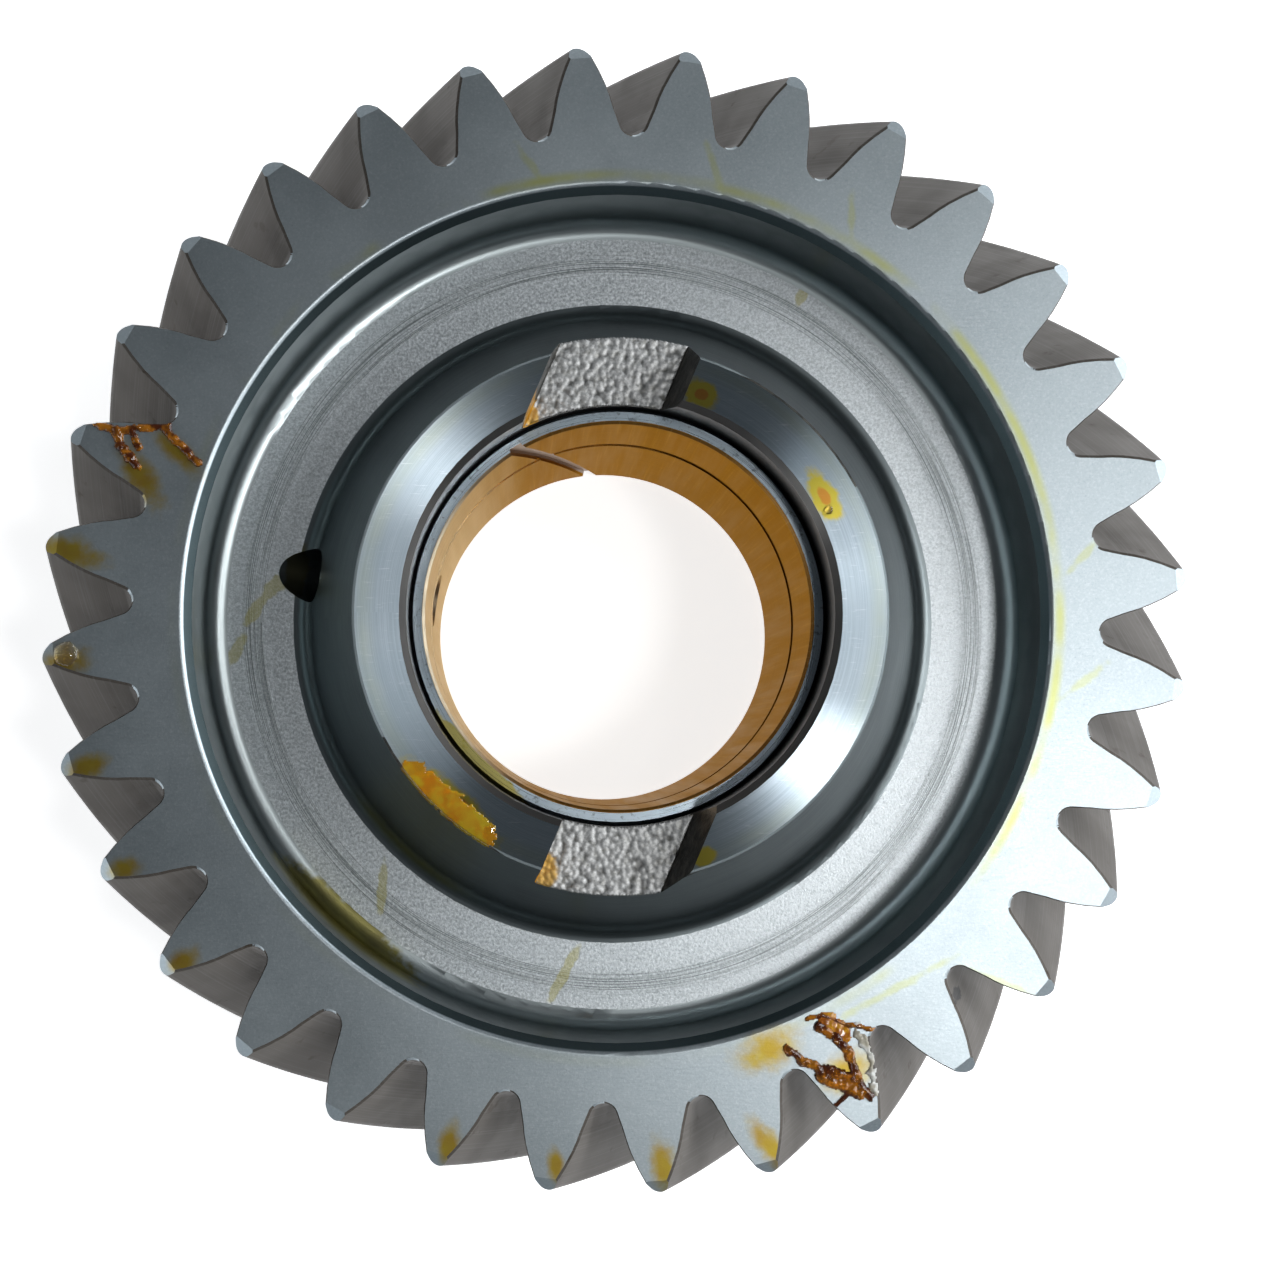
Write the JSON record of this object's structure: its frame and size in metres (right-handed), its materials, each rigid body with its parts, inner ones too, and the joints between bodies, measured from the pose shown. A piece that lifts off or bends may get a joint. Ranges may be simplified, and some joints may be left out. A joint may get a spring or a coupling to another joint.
{
  "type": "bushed helical gear",
  "caption": "Wide left-hand helical gear with deep teeth, a recessed web, a slotted hub and a pressed-in bronze-lined bush, to run on a shaft or pin.",
  "frame": {"origin": "on the gear's axis, in the plane of the hub's back thrust face", "axes": "+Z along the gear's axis, towards the slotted end of the hub; +X to the right and +Y up when the slotted end is looked at"},
  "size_m": [0.1788, 0.1788, 0.07],
  "materials": {
    "gear_steel": "satin machined and tempered steel",
    "bush_steel": "bare turned steel",
    "bush_bronze": "oiled sintered bronze"
  },
  "bodies": {
    "root": {"gear": "gear_steel", "bush_backing": "bush_steel", "bush_lining": "bush_bronze"}
  },
  "joints": []
}
